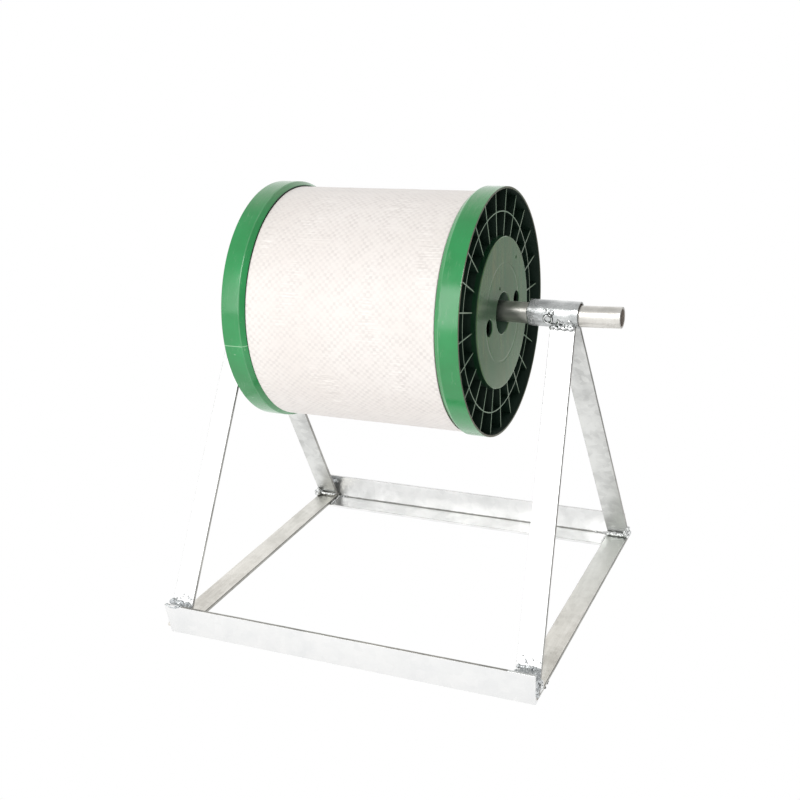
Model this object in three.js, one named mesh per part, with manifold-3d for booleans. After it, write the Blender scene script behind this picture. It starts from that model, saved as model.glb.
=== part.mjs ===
// A spool of woven sheet on a galvanised steel stand.
// Millimetres, +Z up, X along the axle, Y from front to back, origin at the bottom centre of
// the whole object. The stand is a welded frame, the axle is a loose pipe lying in two sleeves,
// and the spool hangs on the axle by its bore.
import * as THREE from 'three';
import { mergeVertices } from 'three/addons/utils/BufferGeometryUtils.js';
import Module from 'manifold-3d';

const wasm = await Module();
wasm.setup();

// ---- driving dimensions ----
const GAP = 0.3; // clearance between pieces that touch
const STAND_X = -24.35; // middle of the stand: the axle pokes out further on the right

const RAIL_LENGTH = 655; // front and back rails, equal-leg angle
const RAIL_LEG = 50;
const RAIL_WALL = 5;
const BACK_RAIL_END = 319.5; // the back rail's right end is cut short of the side rail
const RAIL_SLANT = 9; // the front rail's left end is sawn askew by this much
const STAND_DEPTH = 586; // over the outer faces of both rails

const FLAT_WIDTH = 40; // flat bar of the side rails and the legs
const FLAT_THICK = 6;
const SIDE_RAIL_EDGE = 329; // outer edge of a side rail, from the stand's middle
const LEG_FOOT_EDGE = 329.8; // outer edge of a leg at its foot
const LEG_LEAN = 0.0446; // how far a leg leans inwards in X, per unit of height
const LEG_FOOT_Y = 283.8; // outer face of a leg at its foot
const LEG_AIM_Y = 1.9; // a leg's centre plane passes this far outside the sleeve's centre line

const SLEEVE_R = 21.2; // 42.4 mm pipe with a 2.6 mm wall
const SLEEVE_WALL = 2.6;
const SLEEVE_NEAR = 230; // the sleeve's inner end, from the stand's middle
const SLEEVE_LENGTH = 83;
const SLEEVE_Z = 520;

const AXLE_R = 16.85; // 33.7 mm pipe with a 3.2 mm wall
const AXLE_WALL = 3.2;
const AXLE_X0 = -345.85; // left end of the axle, just past the left sleeve
const AXLE_LENGTH = 700;

const FLANGE_R = 200;
const FLANGE_WIDTH = 40;
const REEL_X0 = -241; // outer face of the left flange
const REEL_WIDTH = 402.2;
const RIM_BEVEL = { axial: 8, radial: 6 };
const RIM_CHAMFER = 1.5;
const RIM_LIP = 3.5;
const WEB = 6; // thickness of the flange plate under the pocket
const DISC_R = 122.5; // raised disc in the middle of a flange
const DISC_WALL = 4;
const DISC_PLATE = 5;
const BORE_R = 20.5;
const TUBE_WALL = 4;
const SOCKET_DEPTH = 15; // how far the hub tube reaches into a flange
const CONE_R = 34; // mouth of the bore
const CONE_END = 17;
const DRIVE_HOLE_R = 13.5;
const DRIVE_HOLE_AT = 66; // radius of the circle that the drive holes lie on
const DRIVE_HOLE_ANGLE = 6; // degrees
const RIB_COUNT = 24;
const RIB_THICK = 2;
const RIB_DROP = 8; // the ribs stop this far below the rim
const RING_RIB_R = 161;
const BARREL_R = 125;
const BARREL_WALL = 4;
const PACK_R = 191;
const WRAP_THICK = 1.2;
const WRAP_SAG = 2.3; // the last turn hangs this much lower at the bottom than at the top

const WELD_R = 4.2; // bead laid in a corner
const TOE_WELD = { low: 34, high: 47.5 }; // filler between a leg and a rail

const FINE = 48; // sides of the large round pieces
const COARSE = 32; // sides of the pipes

// ---- worked out from the above ----
const AXLE_Z = SLEEVE_Z - (SLEEVE_R - SLEEVE_WALL - AXLE_R - GAP);
const REEL_Z = AXLE_Z - (BORE_R - AXLE_R - GAP);
const HALF_DEPTH = STAND_DEPTH / 2;
const SIDE_TOP = RAIL_WALL + GAP + FLAT_THICK;
const FOOT_Z = SIDE_TOP + GAP;
const DRUM_X0 = REEL_X0 + FLANGE_WIDTH; // wound width, between the flanges
const DRUM_X1 = REEL_X0 + REEL_WIDTH - FLANGE_WIDTH;

// ---- materials ----
const steel = (color, roughness) => new THREE.MeshStandardMaterial({ color, roughness, metalness: 0.9 });
const plain = (color, roughness) => new THREE.MeshStandardMaterial({ color, roughness, metalness: 0 });
const MATERIALS = {
  galvanised: () => steel(0xc4c7c4, 0.42),
  weld: () => steel(0xa3a8a8, 0.5),
  green: () => plain(0x2f9a58, 0.45),
  pack: () => plain(0xd8cfc3, 0.85),
  wrap: () => plain(0xf0ebe4, 0.7),
};

// ---- shape helpers ----
const AXIS_X = new THREE.Vector3(1, 0, 0);
const AXIS_Y = new THREE.Vector3(0, 1, 0);
const AXIS_Z = new THREE.Vector3(0, 0, 1);

// A closed box between two corners.
function block([x0, y0, z0], [x1, y1, z1]) {
  const geometry = new THREE.BoxGeometry(x1 - x0, y1 - y0, z1 - z0);
  return geometry.translate((x0 + x1) / 2, (y0 + y1) / 2, (z0 + z1) / 2);
}

// An outline of [y, z] points, extruded along X.
function prism(outline, x0, x1) {
  const shape = new THREE.Shape(outline.map(([y, z]) => new THREE.Vector2(y, z)));
  const geometry = new THREE.ExtrudeGeometry(shape, { depth: x1 - x0, bevelEnabled: false });
  geometry.applyMatrix4(new THREE.Matrix4().makeBasis(AXIS_Y, AXIS_Z, AXIS_X));
  return geometry.translate(x0, 0, 0);
}

// A closed [radius, distance] outline, turned about X.
function turned(outline, sides) {
  const points = [...outline, outline[0]].map(([r, a]) => new THREE.Vector2(r, a));
  return new THREE.LatheGeometry(points, sides).rotateZ(-Math.PI / 2);
}

// A tube along X between x0 and x1.
function tube(outer, inner, x0, x1, sides) {
  return turned([[inner, x0], [outer, x0], [outer, x1], [inner, x1]], sides);
}

// A round bar along X between x0 and x1.
function bar(radius, x0, x1, sides) {
  const geometry = new THREE.CylinderGeometry(radius, radius, x1 - x0, sides).rotateZ(-Math.PI / 2);
  return geometry.translate((x0 + x1) / 2, 0, 0);
}

function toSolid(geometry) {
  const bare = geometry.clone();
  bare.deleteAttribute('normal');
  bare.deleteAttribute('uv');
  const merged = mergeVertices(bare, 1e-4);
  const mesh = new wasm.Mesh({
    numProp: 3,
    vertProperties: new Float32Array(merged.attributes.position.array),
    triVerts: new Uint32Array(merged.index.array),
  });
  return new wasm.Manifold(mesh);
}

function toGeometry(solid) {
  const mesh = solid.getMesh();
  const geometry = new THREE.BufferGeometry();
  geometry.setAttribute('position', new THREE.BufferAttribute(new Float32Array(mesh.vertProperties), 3));
  geometry.setIndex(new THREE.BufferAttribute(new Uint32Array(mesh.triVerts), 1));
  return geometry;
}

const joined = (...pieces) => pieces.map(toSolid).reduce((sum, piece) => sum.add(piece));
const cut = (solid, ...tools) => tools.map(toSolid).reduce((rest, tool) => rest.subtract(tool), solid);

const object = new THREE.Group();

function place(parent, name, geometry, material) {
  const mesh = new THREE.Mesh(geometry, MATERIALS[material]());
  mesh.name = name;
  parent.add(mesh);
  return mesh;
}

// ---- stand: built about its own middle, then moved to STAND_X ----
const stand = new THREE.Group();
stand.position.x = STAND_X;
object.add(stand);

const ENDS = [['front', -1], ['back', 1]];
const SIDES = [['left', -1], ['right', 1]];

// Equal-leg angle with its upright leg outermost.
function railOutline(end) {
  const out = HALF_DEPTH;
  const wall = HALF_DEPTH - RAIL_WALL;
  const toe = HALF_DEPTH - RAIL_LEG;
  const outline = [[out, 0], [out, RAIL_LEG], [wall, RAIL_LEG], [wall, RAIL_WALL], [toe, RAIL_WALL], [toe, 0]];
  return outline.map(([y, z]) => [end * y, z]);
}

function rails() {
  const half = RAIL_LENGTH / 2;
  for (const [end, sign] of ENDS) {
    if (end === 'back') {
      place(stand, 'back_rail', prism(railOutline(sign), -half, BACK_RAIL_END), 'galvanised');
      continue;
    }
    const whole = prism(railOutline(sign), -half, half);
    // the askew saw cut runs from the top corner of the left end to RAIL_SLANT inboard at the bottom
    const saw = new THREE.BoxGeometry(RAIL_LEG, STAND_DEPTH, RAIL_LEG * 3);
    saw.translate(-RAIL_LEG / 2, 0, 0);
    saw.rotateY(-Math.atan2(RAIL_SLANT, RAIL_LEG));
    saw.translate(-half, 0, RAIL_LEG);
    place(stand, 'front_rail', toGeometry(cut(toSolid(whole), saw)), 'galvanised');
  }
}

function sideRails() {
  const reach = HALF_DEPTH - RAIL_WALL - GAP;
  for (const [side, sign] of SIDES) {
    const middle = sign * (SIDE_RAIL_EDGE - FLAT_WIDTH / 2);
    const low = [middle - FLAT_WIDTH / 2, -reach, RAIL_WALL + GAP];
    const high = [middle + FLAT_WIDTH / 2, reach, SIDE_TOP];
    place(stand, `${side}_rail`, block(low, high), 'galvanised');
  }
}

// A leg leans towards the sleeve in Y and a little inwards in X.
const LEG_SLOPE_ANGLE = legAngle();
const LEG_CUT = FLAT_THICK / Math.cos(LEG_SLOPE_ANGLE); // thickness of a leg on a level cut
const LEG_SLOPE = Math.tan(LEG_SLOPE_ANGLE);

function legAngle() {
  const rise = SLEEVE_Z - FOOT_Z;
  const first = Math.atan2(LEG_FOOT_Y - LEG_AIM_Y, rise);
  return Math.atan2(LEG_FOOT_Y - FLAT_THICK / Math.cos(first) / 2 - LEG_AIM_Y, rise);
}

// Distance from the middle of the stand to a leg's outer face, and to its outer edge, at height z.
const legFaceY = (z) => LEG_FOOT_Y - LEG_SLOPE * (z - FOOT_Z);
const legEdgeX = (z) => LEG_FOOT_EDGE - LEG_LEAN * (z - FOOT_Z);

function legs() {
  const top = SLEEVE_Z - SLEEVE_R * 0.7; // inside the sleeve, which then trims the leg
  const height = top - FOOT_Z;
  const sleeveBody = bar(SLEEVE_R + GAP, SLEEVE_NEAR - 10, SLEEVE_NEAR + SLEEVE_LENGTH + 10, COARSE);
  for (const [end, ySign] of ENDS) {
    for (const [side, xSign] of SIDES) {
      const leg = new THREE.BoxGeometry(FLAT_WIDTH, LEG_CUT, height).translate(0, 0, height / 2);
      const shear = new THREE.Matrix4().set(
        1, 0, -xSign * LEG_LEAN, 0,
        0, 1, -ySign * LEG_SLOPE, 0,
        0, 0, 1, 0,
        0, 0, 0, 1,
      );
      leg.applyMatrix4(shear);
      leg.translate(xSign * (LEG_FOOT_EDGE - FLAT_WIDTH / 2), ySign * (LEG_FOOT_Y - LEG_CUT / 2), FOOT_Z);
      const tool = sleeveBody.clone();
      if (xSign < 0) tool.rotateZ(Math.PI);
      tool.translate(0, 0, SLEEVE_Z);
      place(stand, `${end}_${side}_leg`, toGeometry(cut(toSolid(leg), tool)), 'galvanised');
    }
  }
}

function sleeves() {
  for (const [side, sign] of SIDES) {
    const x0 = sign > 0 ? SLEEVE_NEAR : -SLEEVE_NEAR - SLEEVE_LENGTH;
    const geometry = tube(SLEEVE_R, SLEEVE_R - SLEEVE_WALL, x0, x0 + SLEEVE_LENGTH, COARSE);
    place(stand, `${side}_sleeve`, geometry.translate(0, 0, SLEEVE_Z), 'galvanised');
  }
}

// Filler that bridges the wedge between a leg's outer face and the rail behind it.
function toeWeldOutline(ySign) {
  const { low, high } = TOE_WELD;
  const rail = HALF_DEPTH - RAIL_WALL - GAP;
  const outline = [[rail, low], [rail, high], [legFaceY(high) + GAP, high], [legFaceY(low) + GAP, low]];
  return outline.map(([y, z]) => [ySign * y, z]);
}

// Centre of a round bead that lies on the side rail, against the inner face of a leg.
function heelWeldCentre() {
  const z = SIDE_TOP + GAP + WELD_R;
  const standOff = (WELD_R + GAP) / Math.cos(LEG_SLOPE_ANGLE);
  return [legFaceY(z) - LEG_CUT - standOff, z];
}

// Centre of a round bead in the corner between a leg's outer face and the sleeve.
function sleeveWeldCentre() {
  const miss = LEG_AIM_Y * Math.cos(LEG_SLOPE_ANGLE);
  const out = FLAT_THICK / 2 + miss + GAP + WELD_R; // square to the leg's face
  const down = Math.sqrt((SLEEVE_R + GAP + WELD_R) ** 2 - out ** 2); // along the leg
  const sin = Math.sin(LEG_SLOPE_ANGLE);
  const cos = Math.cos(LEG_SLOPE_ANGLE);
  return [out * cos + down * sin, SLEEVE_Z + out * sin - down * cos];
}

function welds() {
  for (const [end, ySign] of ENDS) {
    for (const [side, xSign] of SIDES) {
      const outlineAt = (z, geometry) => {
        const edge = legEdgeX(z);
        const x0 = xSign > 0 ? edge - FLAT_WIDTH : -edge;
        return geometry(x0, x0 + FLAT_WIDTH);
      };
      const bead = ([y, z]) => outlineAt(z, (x0, x1) => bar(WELD_R, x0, x1, 10).translate(0, ySign * y, z));
      const railEnd = ySign > 0 && xSign > 0 ? BACK_RAIL_END : Infinity;
      const toe = outlineAt(TOE_WELD.high, (x0, x1) => prism(toeWeldOutline(ySign), x0, Math.min(x1, railEnd)));
      place(stand, `${end}_${side}_toe_weld`, toe, 'weld');
      place(stand, `${end}_${side}_heel_weld`, bead(heelWeldCentre()), 'weld');
      place(stand, `${end}_${side}_sleeve_weld`, bead(sleeveWeldCentre()), 'weld');
    }
  }
}

// ---- axle: lies on the bottom of the sleeves ----
function axle() {
  const geometry = tube(AXLE_R, AXLE_R - AXLE_WALL, AXLE_X0, AXLE_X0 + AXLE_LENGTH, COARSE);
  place(object, 'axle', geometry.translate(0, 0, AXLE_Z), 'galvanised');
}

// ---- reel: hangs on the axle by the top of its bore ----
const reel = new THREE.Group();
reel.position.z = REEL_Z;
object.add(reel);

// Section of a flange, measured outwards from its wound side.
function flangeOutline() {
  const inner = DISC_R - DISC_WALL;
  const socket = BORE_R + TUBE_WALL + GAP;
  const plateBack = FLANGE_WIDTH - DISC_PLATE;
  return [
    [inner, 0],
    [FLANGE_R - RIM_BEVEL.radial, 0],
    [FLANGE_R, RIM_BEVEL.axial],
    [FLANGE_R, FLANGE_WIDTH - RIM_CHAMFER],
    [FLANGE_R - RIM_CHAMFER, FLANGE_WIDTH],
    [FLANGE_R - RIM_LIP, FLANGE_WIDTH],
    [FLANGE_R - RIM_LIP, WEB],
    [DISC_R, WEB],
    [DISC_R, FLANGE_WIDTH],
    [CONE_R, FLANGE_WIDTH],
    [socket, CONE_END],
    [socket, 0],
    [socket + DISC_WALL, 0],
    [socket + DISC_WALL, CONE_END],
    [CONE_R + DISC_WALL, plateBack],
    [inner, plateBack],
  ];
}

// One flange with its outer face towards +X and its wound side at x = 0.
function flangeSolid() {
  const ribTop = FLANGE_WIDTH - RIB_DROP;
  const reach = FLANGE_R - RIM_LIP + 1; // the ribs run into the rim and the disc's wall
  let solid = toSolid(turned(flangeOutline(), FINE));
  for (let k = 0; k < RIB_COUNT; k += 1) {
    const rib = block([WEB - 1, -RIB_THICK / 2, DISC_R - 1], [ribTop, RIB_THICK / 2, reach]);
    solid = solid.add(toSolid(rib.rotateX((k / RIB_COUNT) * 2 * Math.PI)));
  }
  const ring = tube(RING_RIB_R + RIB_THICK / 2, RING_RIB_R - RIB_THICK / 2, WEB - 1, ribTop, FINE);
  solid = solid.add(toSolid(ring));
  for (const sign of [-1, 1]) {
    const angle = THREE.MathUtils.degToRad(DRIVE_HOLE_ANGLE);
    const hole = bar(DRIVE_HOLE_R, FLANGE_WIDTH - 2 * DISC_PLATE, FLANGE_WIDTH + 1, 24);
    hole.translate(0, sign * DRIVE_HOLE_AT * Math.cos(angle), sign * DRIVE_HOLE_AT * Math.sin(angle));
    solid = solid.subtract(toSolid(hole));
  }
  return solid;
}

function flanges() {
  const geometry = toGeometry(flangeSolid());
  place(reel, 'right_flange', geometry.clone(), 'green').position.x = DRUM_X1;
  const left = place(reel, 'left_flange', geometry.clone(), 'green');
  left.rotation.z = Math.PI;
  left.position.x = DRUM_X0;
}

function core() {
  const barrel = tube(BARREL_R, BARREL_R - BARREL_WALL, DRUM_X0 + GAP, DRUM_X1 - GAP, FINE);
  place(reel, 'barrel', barrel, 'green');
  const ends = [DRUM_X0 - SOCKET_DEPTH, DRUM_X1 + SOCKET_DEPTH];
  place(reel, 'hub_tube', tube(BORE_R + TUBE_WALL, BORE_R, ...ends, COARSE), 'green');
}

// The wound sheet, and its last turn, which hangs a little slack below.
function winding() {
  const ends = [DRUM_X0 + GAP, DRUM_X1 - GAP];
  place(reel, 'wound_pack', tube(PACK_R, BARREL_R + GAP, ...ends, FINE), 'pack');
  const last = toSolid(bar(PACK_R + GAP + WRAP_THICK + WRAP_SAG, ...ends, FINE).translate(0, 0, -WRAP_SAG));
  const hollow = bar(PACK_R + GAP, ends[0] - 1, ends[1] + 1, FINE);
  place(reel, 'wrap_sheet', toGeometry(cut(last, hollow)), 'wrap');
}

rails();
sideRails();
legs();
sleeves();
welds();
axle();
flanges();
core();
winding();

export default object;
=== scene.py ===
"""Looks of the cover reel: a spool of woven sheet on a galvanised steel stand.

Metres, +Z up, X along the axle, Y from front to back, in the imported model's own frame.
Places come from the CAD nodes' boxes, and sizes within a piece are named below. Steel bars are
the CAD solids with rounded, slightly uneven edges; the spool, its wrap, the pipes and the welds
are built here.
"""

import math
import random

import bmesh
import bpy
from mathutils import Matrix, Vector, noise


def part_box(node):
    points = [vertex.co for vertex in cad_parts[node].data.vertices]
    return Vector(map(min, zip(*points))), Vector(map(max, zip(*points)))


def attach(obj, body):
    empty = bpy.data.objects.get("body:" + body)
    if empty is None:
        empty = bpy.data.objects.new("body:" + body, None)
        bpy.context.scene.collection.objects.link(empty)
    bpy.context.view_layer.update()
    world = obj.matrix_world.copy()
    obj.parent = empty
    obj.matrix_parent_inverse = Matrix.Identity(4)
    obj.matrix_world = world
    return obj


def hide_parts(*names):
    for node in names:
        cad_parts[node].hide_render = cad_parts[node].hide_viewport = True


MM = 0.001
TAU = 2 * math.pi

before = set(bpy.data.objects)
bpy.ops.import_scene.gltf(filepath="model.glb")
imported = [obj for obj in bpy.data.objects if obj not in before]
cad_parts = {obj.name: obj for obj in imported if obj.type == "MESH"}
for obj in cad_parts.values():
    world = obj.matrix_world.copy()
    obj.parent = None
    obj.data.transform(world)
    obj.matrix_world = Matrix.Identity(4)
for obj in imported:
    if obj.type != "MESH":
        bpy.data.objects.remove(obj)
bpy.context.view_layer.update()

# ---- places and sizes, read from the frame ----
RIGHT_LOW, RIGHT_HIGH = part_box("right_flange")
LEFT_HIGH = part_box("left_flange")[1]
SLEEVE_LOW, SLEEVE_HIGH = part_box("right_sleeve")
AXLE_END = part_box("axle")[1].x
TUBE_LOW, TUBE_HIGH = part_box("hub_tube")
BARREL_LOW, BARREL_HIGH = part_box("barrel")
PACK_LOW, PACK_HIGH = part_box("wound_pack")
WRAP_LOW, WRAP_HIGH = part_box("wrap_sheet")
REEL_Z = (RIGHT_LOW.z + RIGHT_HIGH.z) / 2
FLANGE_R = (RIGHT_HIGH.z - RIGHT_LOW.z) / 2
FLANGE_WIDTH = RIGHT_HIGH.x - RIGHT_LOW.x
TUBE_R = (TUBE_HIGH.z - TUBE_LOW.z) / 2
BARREL_R = (BARREL_HIGH.z - BARREL_LOW.z) / 2
SLEEVE_Z = (SLEEVE_LOW.z + SLEEVE_HIGH.z) / 2
SLEEVE_R = (SLEEVE_HIGH.z - SLEEVE_LOW.z) / 2

# ---- section of a flange, outwards from its wound side ----
RIM_BEVEL_AXIAL = 8 * MM
RIM_BEVEL_RADIAL = 6 * MM
RIM_LIP = 3.5 * MM
WEB = 6 * MM
DISC_R = 122.5 * MM
DISC_WALL = 4 * MM
DISC_PLATE = 5 * MM
TUBE_WALL = 4 * MM
CONE_R = 34 * MM
CONE_END = 17 * MM
MOULD_RING_R = 79 * MM
DRIVE_HOLE_R = 13.5 * MM
DRIVE_HOLE_AT = 66 * MM
DRIVE_HOLE_ANGLE = math.radians(6)
RIB_COUNT = 24
RIB_THICK = 2 * MM
RIB_DROP = 8 * MM  # the ribs end this far short of the rim's edge
RIB_TOP = FLANGE_WIDTH - RIB_DROP
RING_RIB_R = 161 * MM
SEAM_ANGLE = math.radians(7.7)
PIT_R = 3 * MM
DISC_PITS = ((67.5 * MM, 76 * MM), (-13.5 * MM, 43 * MM))
FLANGE_SIDES = 192
REEL_SIDES = 128
RING_RIB_SIDES = 144
PIPE_SIDES = 96

# ---- the stand's stock ----
SLEEVE_WALL = 2.6 * MM
PIPE_WALL = 3.2 * MM
FLAT_WIDTH = 40 * MM
LEG_LEAN = 0.0446  # sideways, per metre of height
LEG_SLOPE = math.tan(math.radians(28.7))
ROOT_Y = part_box("back_rail")[1].y - 5 * MM  # inner corner of the back angle bar
ROOT_Z = 5 * MM


# ======== shader nodes
class Field:
    """A number that varies over a surface; arithmetic on it adds nodes to its material."""

    def __init__(self, tree, socket):
        self.tree = tree
        self.socket = socket

    def __add__(self, other):
        return calculate(self.tree, "ADD", self, other)

    def __sub__(self, other):
        return calculate(self.tree, "SUBTRACT", self, other)

    def __rsub__(self, other):
        return calculate(self.tree, "SUBTRACT", other, self)

    def __mul__(self, other):
        return calculate(self.tree, "MULTIPLY", self, other)

    def __truediv__(self, other):
        return calculate(self.tree, "DIVIDE", self, other)

    def __pow__(self, other):
        return calculate(self.tree, "POWER", self, other)

    def __abs__(self):
        return calculate(self.tree, "ABSOLUTE", self)

    def remap(self, low, high, to_low=0.0, to_high=1.0):
        """Runs from to_low to to_high while this runs from low to high, and stops there."""
        inputs = {"Value": self, "From Min": low, "From Max": high, "To Min": to_low, "To Max": to_high}
        return Field(self.tree, add_node(self.tree, "ShaderNodeMapRange", inputs).outputs["Result"])


def plug(tree, value, socket):
    """Links a field or a socket to an input, or sets the input to a plain value."""
    if isinstance(value, Field):
        value = value.socket
    if isinstance(value, bpy.types.NodeSocket):
        tree.links.new(value, socket)
    else:
        socket.default_value = value


def add_node(tree, kind, inputs=None, **settings):
    """A shader node with its settings, and its inputs set or linked."""
    made = tree.nodes.new(kind)
    for key, value in settings.items():
        setattr(made, key, value)
    for key, value in (inputs or {}).items():
        plug(tree, value, made.inputs[key])
    return made


def calculate(tree, operation, *values):
    made = add_node(tree, "ShaderNodeMath", dict(enumerate(values)), operation=operation)
    return Field(tree, made.outputs[0])


def ramp(tree, factor, *stops):
    """A colour ramp over factor; stops are (position, colour)."""
    made = add_node(tree, "ShaderNodeValToRGB", {"Fac": factor})
    for element, (position, colour) in zip(made.color_ramp.elements, stops):
        element.position = position
        element.color = (*colour, 1)
    return made.outputs["Color"]


def lay_over(tree, colour, *layers):
    """Lays more colours over the given one; layers are (amount, colour)."""
    for amount, tint in layers:
        inputs = {0: amount, 6: colour, 7: (*tint, 1)}
        colour = add_node(tree, "ShaderNodeMix", inputs, data_type="RGBA").outputs[2]
    return colour


def noise_of(tree, vector, scale, detail=3.0, roughness=0.5, distortion=0.0):
    inputs = {"Vector": vector, "Scale": scale, "Detail": detail, "Roughness": roughness,
              "Distortion": distortion}
    return Field(tree, add_node(tree, "ShaderNodeTexNoise", inputs).outputs["Fac"])


def cells_of(tree, where, scale):
    """Scattered cells: the distance from each one's centre, and two numbers drawn for each."""
    cells = add_node(tree, "ShaderNodeTexVoronoi", {"Vector": where, "Scale": scale})
    drawn = add_node(tree, "ShaderNodeSeparateColor", {"Color": cells.outputs["Color"]})
    sockets = cells.outputs["Distance"], drawn.outputs["Red"], drawn.outputs["Green"]
    return [Field(tree, socket) for socket in sockets]


def specks(tree, where, scale, near, far, strength):
    """A few round specks, solid out to near and gone at far, in cell widths."""
    distance, _, drawn = cells_of(tree, where, scale)
    return distance.remap(near, far, strength, 0.0) * drawn.remap(0.8, 0.82)


def split(tree, vector):
    parts = add_node(tree, "ShaderNodeSeparateXYZ", {"Vector": vector})
    return [Field(tree, parts.outputs[axis]) for axis in "XYZ"]


def stretched(tree, vector, scale):
    return add_node(tree, "ShaderNodeMapping", {"Vector": vector, "Scale": scale}).outputs["Vector"]


def bump(tree, height, strength, distance, normal=None):
    inputs = {"Height": height, "Strength": strength, "Distance": distance}
    if normal is not None:
        inputs["Normal"] = normal
    return add_node(tree, "ShaderNodeBump", inputs).outputs["Normal"]


def new_material(name, metallic=0.0):
    """An empty material, its node tree, its shader and the object's own coordinates."""
    material = bpy.data.materials.new(name)
    material.use_nodes = True
    tree = material.node_tree
    shader = tree.nodes["Principled BSDF"]
    shader.inputs["Metallic"].default_value = metallic
    return material, tree, shader, place_coords(tree)


def place_coords(tree):
    return tree.nodes.new("ShaderNodeTexCoord").outputs["Object"]


def cover(tree, shader, colour, roughness, normal):
    plug(tree, colour, shader.inputs["Base Color"])
    plug(tree, roughness, shader.inputs["Roughness"])
    plug(tree, normal, shader.inputs["Normal"])


# ======== zinc
def galvanised(name, light, dark, rough, extra=None):
    """Hot-dip zinc: broad cloudy tone, faint spangles, fine grain and a slightly wavy skin."""
    material, tree, shader, where = new_material(name, metallic=1.0)
    cloud = noise_of(tree, where, 14, 4, 0.55)
    spangle = cells_of(tree, where, 90)[1]
    grain = noise_of(tree, where, 420, 2, 0.6)
    tone = cloud * 0.75 + spangle * 0.13 + grain * 0.12
    colour = ramp(tree, tone, (0.36, dark), (0.6, light))
    if extra is not None:
        colour = extra(tree, where, colour)
    wave = noise_of(tree, where, 55, 3, 0.55)
    normal = bump(tree, wave, 0.3, 1.0 * MM, bump(tree, grain, 0.1, 0.3 * MM))
    cover(tree, shader, colour, tone.remap(0.3, 0.7, rough + 0.08, rough - 0.06), normal)
    return material


def dipped_pipe(name, light, dark, rough, ripple, extra=None):
    """Glossy zinc on a pipe, drawn out into ripples and runs along X."""
    material, tree, shader, where = new_material(name, metallic=1.0)
    cloud = noise_of(tree, where, 32, 4, 0.6)
    fine = noise_of(tree, where, 260, 3, 0.6)
    tone = cloud * 0.7 + fine * 0.3
    colour = ramp(tree, tone, (0.38, dark), (0.6, light))
    if extra is not None:
        colour = extra(tree, where, colour)
    runs = noise_of(tree, stretched(tree, where, (0.5, 1.0, 1.0)), 95, 4, 0.6, 0.8)
    dents = noise_of(tree, where, 38, 2, 0.5)
    normal = bump(tree, dents, 0.35, 1.6 * ripple * MM, bump(tree, runs, 0.5, ripple * MM))
    cover(tree, shader, colour, tone.remap(0.35, 0.65, rough + 0.06, rough - 0.04), normal)
    return material


def weld_metal(name, light, dark, rough, pits):
    """Zinc over a weld: blotched and pitted."""
    material, tree, shader, where = new_material(name, metallic=1.0)
    blotch = noise_of(tree, where, 170, 4, 0.6)
    colour = ramp(tree, blotch, (0.38, dark), (0.6, light))
    normal = bump(tree, noise_of(tree, where, 420, 3, 0.6), 0.6, pits * MM)
    cover(tree, shader, colour, blotch.remap(0.3, 0.7, rough + 0.12, rough - 0.06), normal)
    return material


def cooler_at_the_back(tree, where, colour):
    """Yellowish in front, neutral grey towards the right back, with pale streaks and specks."""
    x, y, _ = split(tree, where)
    cool = y.remap(-0.1, 0.25, 0.0, 0.8) * x.remap(-0.2, 0.2, 0.3, 1.0)
    streaks = noise_of(tree, stretched(tree, where, (1.0, 0.12, 1.0)), 130, 3, 0.6)
    speck = specks(tree, where, 26, 0.05, 0.09, 0.7)
    return lay_over(tree, colour, (streaks.remap(0.45, 0.65, 0.0, 0.5), (0.84, 0.82, 0.775)),
                    (cool, (0.74, 0.765, 0.74)), (speck, (0.25, 0.24, 0.2)))


def dark_root(tree, where, colour):
    """The dark line in the angle bar's inner corner."""
    _, y, z = split(tree, where)
    ragged = noise_of(tree, where, 120, 3, 0.6) * (2.4 * MM)
    reach = abs(y - ROOT_Y) + abs(z - ROOT_Z) + ragged
    return lay_over(tree, colour, (reach.remap(2.6 * MM, 4.0 * MM, 0.8, 0.0), (0.16, 0.165, 0.15)))


def flange_shade_on_axle(tree, where, colour):
    """Painted shade: darker where the flange shades the axle, ending in a point towards the sleeve."""
    x, _, z = split(tree, where)
    point_z = 9.2 * MM
    edge = noise_of(tree, where, 60, 3, 0.6) * (12 * MM)
    reach = x - abs(z - point_z) * 1.15 + edge
    return lay_over(tree, colour, (reach.remap(182 * MM, 196 * MM, 0.9, 0.0), (0.25, 0.25, 0.235)))


# ======== plastic and sheet
def green_plastic(name, deep, bright, scuff, scuffed, rough, specular=0.5, extra=None, gloss=(1, 1, 1)):
    """Moulded plastic with cloudy colour, fine orange peel and pale rubbed scratches."""
    material, tree, shader, where = new_material(name)
    cloud = noise_of(tree, where, 9, 4, 0.6)
    rubbed = noise_of(tree, stretched(tree, where, (1.0, 0.25, 0.25)), 160, 5, 0.7, 1.2)
    patches = noise_of(tree, where, 16, 3, 0.6)
    amount = rubbed.remap(0.56, 0.7) * patches.remap(0.45, 0.7) * scuffed
    colour = lay_over(tree, ramp(tree, cloud, (0.36, deep), (0.66, bright)), (amount, scuff))
    if extra is not None:
        colour = extra(tree, where, colour)
    peel = bump(tree, noise_of(tree, where, 260, 3, 0.5), 0.06, 0.4 * MM)
    cover(tree, shader, colour, patches.remap(0.35, 0.7, rough - 0.05, rough + 0.07), peel)
    shader.inputs["Specular IOR Level"].default_value = specular
    shader.inputs["Specular Tint"].default_value = (*gloss, 1)
    return material


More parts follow.
